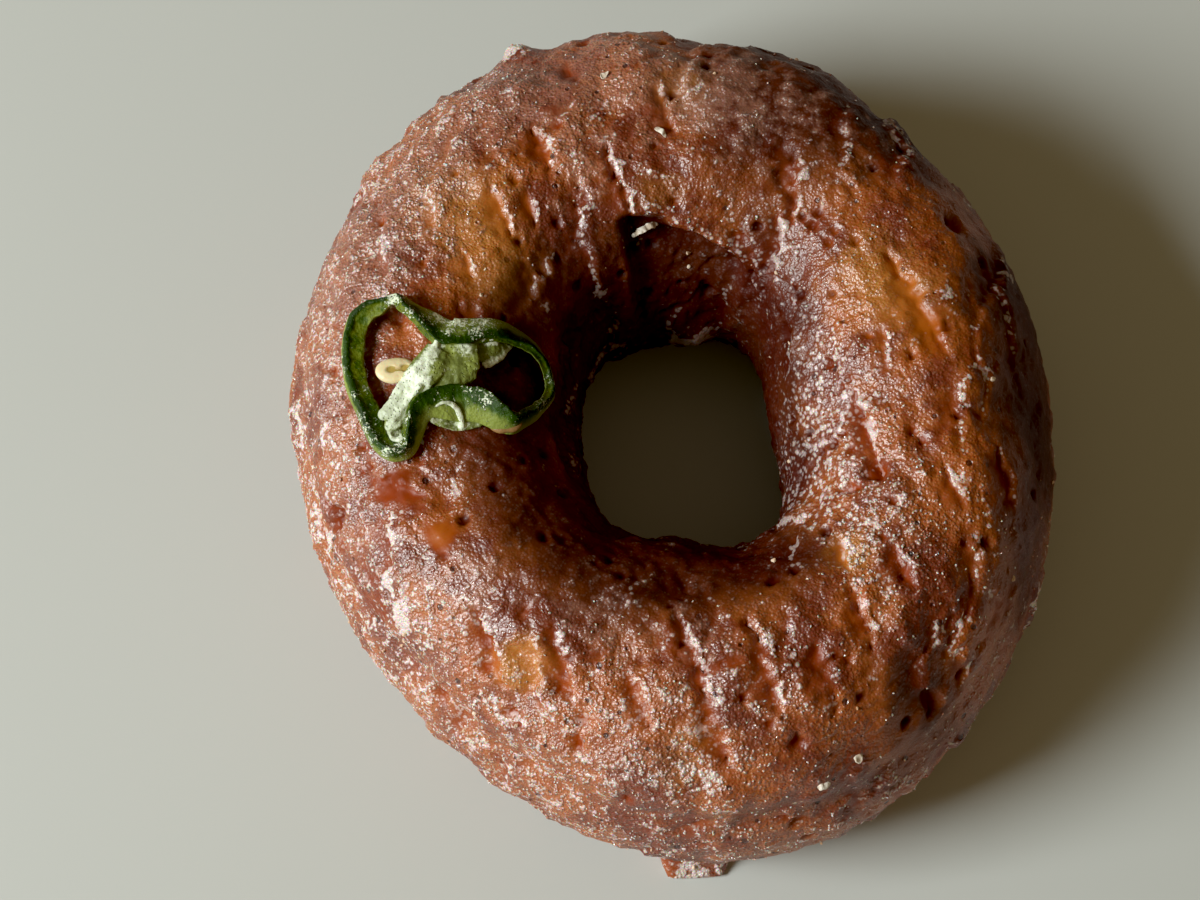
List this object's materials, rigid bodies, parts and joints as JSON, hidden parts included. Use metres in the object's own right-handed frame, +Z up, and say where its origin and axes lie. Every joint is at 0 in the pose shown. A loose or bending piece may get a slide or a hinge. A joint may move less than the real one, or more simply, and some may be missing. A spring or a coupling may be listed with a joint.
{
  "type": "glazed cider doughnut with a chilli slice",
  "caption": "Ring-shaped fried cake doughnut with a craggy glazed crown, an off-round hole and a curled slice of dried green chilli lying on it.",
  "frame": {"origin": "centre of the part's plan at the height of the surface it rests on", "axes": "+Z up out of the crown, +Y along the ring's longer side, +X across it"},
  "size_m": [0.0756, 0.0848, 0.0328],
  "materials": {
    "fried_crust": "fried dough under a thin clear sugar glaze",
    "green_chilli": "dried green skin, pale green flesh and cream seeds"
  },
  "bodies": {
    "root": {"doughnut": "fried_crust", "chilli_slice": "green_chilli"}
  },
  "joints": []
}
